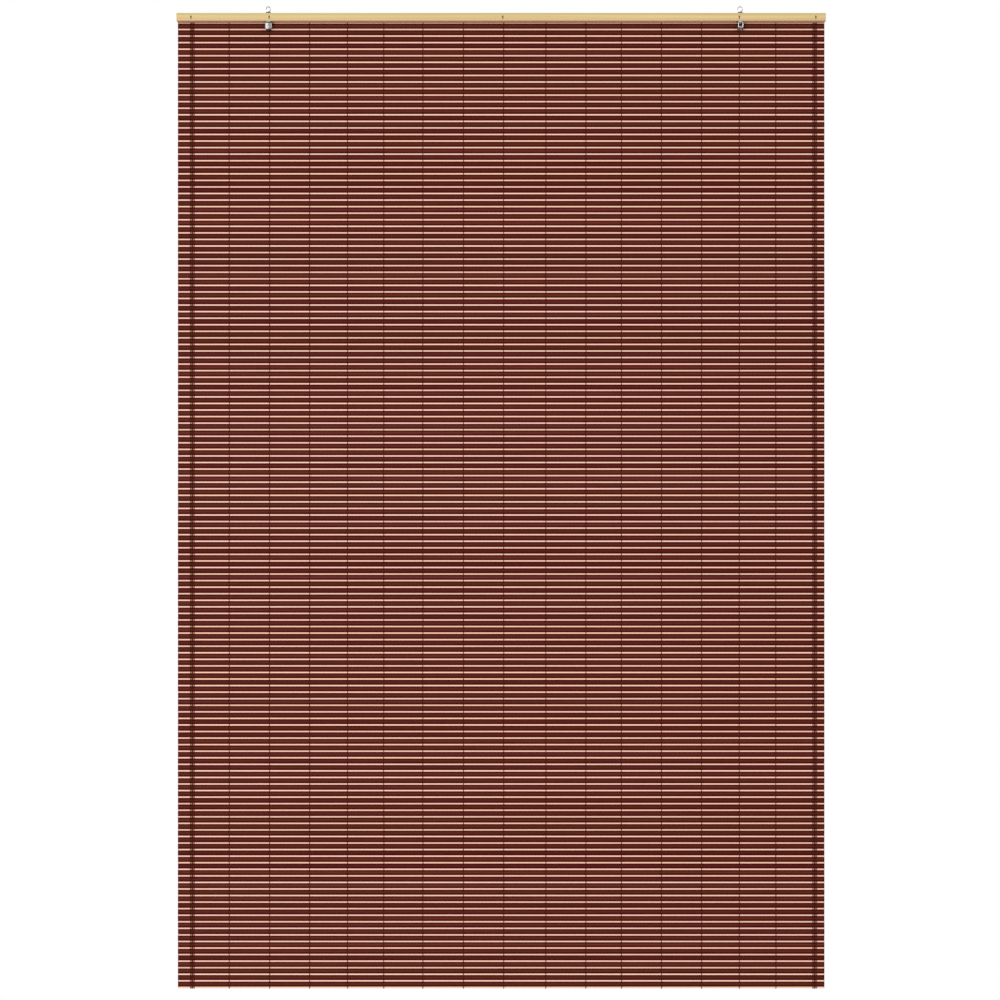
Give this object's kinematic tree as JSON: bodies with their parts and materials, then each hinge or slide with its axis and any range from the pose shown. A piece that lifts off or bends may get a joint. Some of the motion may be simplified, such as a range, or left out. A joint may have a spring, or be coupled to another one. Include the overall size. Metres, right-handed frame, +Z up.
{
  "type": "bamboo roll up blind",
  "caption": "Bamboo roll up blind: stained slats alternate with pale sticks, bound by dark warp threads, below a wooden head rail with wire hooks and swivelling cord pulleys.",
  "frame": {"origin": "the line on which the two hooks bear, half-way along the head rail, at the hook shanks' depth", "axes": "+Z up along the drop, +X along the rail to the right seen from the front, front faces -Y"},
  "size_m": [1.2192, 0.0291, 1.8496],
  "materials": {
    "rail_wood": "plain planed wood",
    "stained_bamboo": "mahogany stain with a thin satin lacquer",
    "warp_thread": "twisted cotton",
    "nickel": "nickel plate",
    "nail_steel": "dull wire"
  },
  "bodies": {
    "blind": {"head_rail": "rail_wood", "clamp_batten": "rail_wood", "rail_nails": "nail_steel", "slat_mat": "stained_bamboo", "warp_thread_01": "warp_thread", "warp_thread_02": "warp_thread", "warp_thread_03": "warp_thread", "warp_thread_04": "warp_thread", "warp_thread_05": "warp_thread", "warp_thread_06": "warp_thread", "warp_thread_07": "warp_thread", "warp_thread_08": "warp_thread", "warp_thread_09": "warp_thread", "warp_thread_10": "warp_thread", "warp_thread_11": "warp_thread", "warp_thread_12": "warp_thread", "warp_thread_13": "warp_thread", "warp_thread_14": "warp_thread", "warp_thread_15": "warp_thread", "left_edge_strand_1": "warp_thread", "left_edge_strand_2": "warp_thread", "left_edge_strand_3": "warp_thread", "left_edge_strand_4": "warp_thread", "right_edge_strand_1": "warp_thread", "right_edge_strand_2": "warp_thread", "right_edge_strand_3": "warp_thread", "right_edge_strand_4": "warp_thread", "left_hook": "nickel", "left_hook_collar": "nickel", "left_washer": "nickel", "right_hook": "nickel", "right_hook_collar": "nickel", "right_washer": "nickel"},
    "left_block": {"left_pulley_strap": "nickel", "left_sheave_pin": "nickel"},
    "left_wheel": {"left_sheave": "nickel"},
    "right_block": {"right_pulley_strap": "nickel", "right_sheave_pin": "nickel"},
    "right_wheel": {"right_sheave": "nickel"}
  },
  "joints": [
    {"name": "left_block_swivel", "type": "hinge", "parent": "blind", "child": "left_block", "pos_m": [-0.43772, 0, -0.02856], "axis": [0, 0, 1], "continuous": true},
    {"name": "left_sheave_spin", "type": "hinge", "parent": "left_block", "child": "left_wheel", "pos_m": [-0.43772, 0, -0.03706], "axis": [0.0698, -0.9976, 0], "continuous": true},
    {"name": "right_block_swivel", "type": "hinge", "parent": "blind", "child": "right_block", "pos_m": [0.44942, 0, -0.02856], "axis": [0, 0, 1], "continuous": true},
    {"name": "right_sheave_spin", "type": "hinge", "parent": "right_block", "child": "right_wheel", "pos_m": [0.44942, 0, -0.03706], "axis": [0.9976, 0.0698, 0], "continuous": true}
  ]
}
